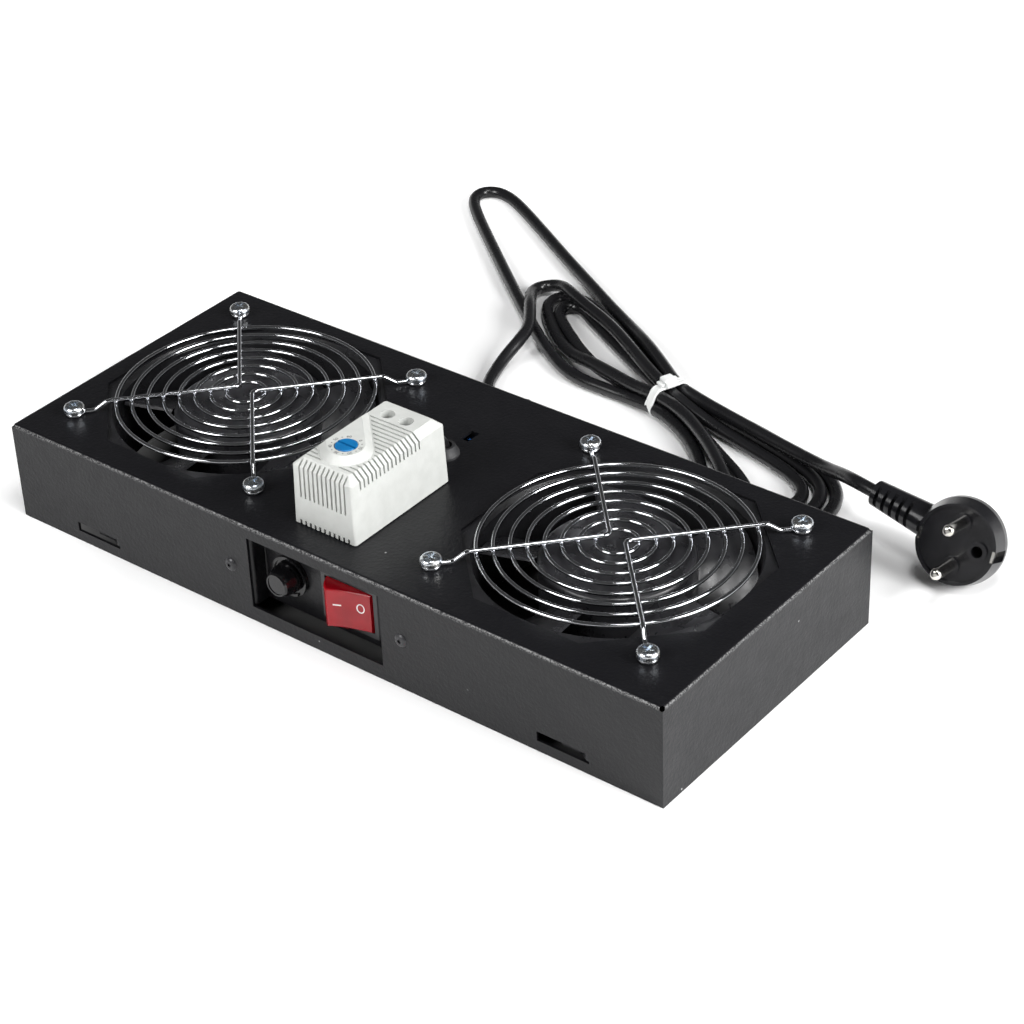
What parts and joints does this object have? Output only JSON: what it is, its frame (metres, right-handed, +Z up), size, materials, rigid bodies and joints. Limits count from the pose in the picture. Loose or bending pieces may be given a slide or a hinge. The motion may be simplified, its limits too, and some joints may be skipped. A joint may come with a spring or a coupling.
{
  "type": "rack fan tray",
  "caption": "Flat steel tray that hangs in a wall-mounted rack and moves air with guarded fans, with a thermostat, a fuse, a lit rocker switch and a mains cord.",
  "frame": {"origin": "middle of the tray's lower rim, on the surface that it stands on", "axes": "+X along the tray from the fuse side to the switch side, the windowed front wall faces -Y, +Z up"},
  "size_m": [0.3996, 0.3574, 0.0814],
  "materials": {
    "tray_paint": "fine-textured matt black powder coat",
    "bracket_paint": "matt black powder coat",
    "rivet": "black lacquered blind rivet",
    "fan_frame": "matt black die casting",
    "impeller": "dark grey moulded plastic",
    "rotor_steel": "drawn steel",
    "shaft_steel": "ground steel",
    "bronze": "sintered bronze",
    "core_steel": "stacked laminations",
    "copper": "enamelled copper wire",
    "tinned_brass": "tinned",
    "guard_chrome": "bright plated steel wire",
    "zinc": "bright zinc plate",
    "switch_black": "satin black moulding",
    "rocker_red": "translucent red moulding",
    "lamp_glass": "clear glass",
    "fuse_black": "satin black moulding",
    "fuse_glass": "clear glass",
    "fuse_metal": "nickel-plated",
    "thermostat_white": "satin white moulding",
    "latch_steel": "spring steel",
    "bimetal": "rolled bimetal strip",
    "dial_blue": "satin blue moulding",
    "grommet_rubber": "soft rubber",
    "gland_black": "moulded black",
    "receptacle_blue": "insulating sleeve",
    "lead_brown": "wire insulation",
    "lead_blue": "wire insulation",
    "lead_green_yellow": "two-colour wire insulation",
    "lead_black": "wire insulation",
    "cord_sheath": "smooth black sheath",
    "tie_white": "natural nylon",
    "plug_black": "moulded black",
    "plug_nickel": "nickel-plated brass"
  },
  "bodies": {
    "tray": {"tray_chassis": "tray_paint", "switch_bracket": "bracket_paint", "bracket_rivets": "rivet", "fan_frame_left": "fan_frame", "fan_frame_right": "fan_frame", "fan_bearings": "bronze", "stator_cores": "core_steel", "stator_windings": "copper", "fan_spades": "tinned_brass", "finger_guard_left": "guard_chrome", "finger_guard_right": "guard_chrome", "guard_screws": "zinc", "guard_washers": "zinc", "guard_nuts": "zinc", "rocker_housing": "switch_black", "rocker_lamp": "lamp_glass", "rocker_terminals": "tinned_brass", "fuse_holder_body": "fuse_black", "fuse_holder_nut": "fuse_black", "fuse_holder_terminals": "tinned_brass", "thermostat_cover": "thermostat_white", "thermostat_base": "thermostat_white", "thermostat_latch": "latch_steel", "thermostat_screws": "zinc", "thermostat_bimetal": "bimetal", "plate_grommet": "grommet_rubber", "cord_gland": "gland_black", "wide_receptacles": "receptacle_blue", "narrow_receptacles": "receptacle_blue", "lead_live": "lead_brown", "lead_neutral": "lead_blue", "lead_earth": "lead_green_yellow", "lead_fuse_switch": "lead_black", "lead_switch_thermostat": "lead_black", "lead_thermostat_fan": "lead_black", "lead_switch_fan": "lead_blue", "lead_fans_front": "lead_blue", "lead_fans_back": "lead_black", "lead_thermostat": "cord_sheath", "cord_inner": "cord_sheath", "cord_exit": "cord_sheath", "cord_hank": "cord_sheath", "cord_loop": "cord_sheath", "cord_plug_run": "cord_sheath", "cable_tie": "tie_white", "plug_body": "plug_black", "plug_pins": "plug_nickel", "plug_earth_clips": "plug_nickel"},
    "rotor_left": {"impeller_left": "impeller", "rotor_cup_left": "rotor_steel", "rotor_shaft_left": "shaft_steel"},
    "rotor_right": {"impeller_right": "impeller", "rotor_cup_right": "rotor_steel", "rotor_shaft_right": "shaft_steel"},
    "rocker": {"rocker": "rocker_red"},
    "dial": {"thermostat_dial": "dial_blue"},
    "fuse_link": {"fuse_glass": "fuse_glass", "fuse_end_caps": "fuse_metal"},
    "fuse_cap": {"fuse_cap": "fuse_black"}
  },
  "joints": [
    {"name": "fan_left_spin", "type": "hinge", "parent": "tray", "child": "rotor_left", "pos_m": [-0.10225, 0.002, 0.03], "axis": [0, 0, 1], "continuous": true},
    {"name": "fan_right_spin", "type": "hinge", "parent": "tray", "child": "rotor_right", "pos_m": [0.09745, 0.002, 0.03], "axis": [0, 0, 1], "continuous": true},
    {"name": "rocker_tilt", "type": "hinge", "parent": "tray", "child": "rocker", "pos_m": [0.0132, -0.0616, 0.024], "axis": [0, 0, 1], "range_deg": [-40, 0]},
    {"name": "dial_turn", "type": "hinge", "parent": "tray", "child": "dial", "pos_m": [-0.0042, -0.0414, 0.08], "axis": [0, 0, 1], "range_deg": [-150, 150]},
    {"name": "fuse_slide", "type": "slide", "parent": "tray", "child": "fuse_link", "axis": [0, -1, 0], "range_m": [0, 0.028]},
    {"name": "fuse_cap_turn", "type": "hinge", "parent": "fuse_link", "child": "fuse_cap", "pos_m": [-0.02, -0.068, 0.024], "axis": [0, 1, 0], "range_deg": [0, 90]}
  ]
}
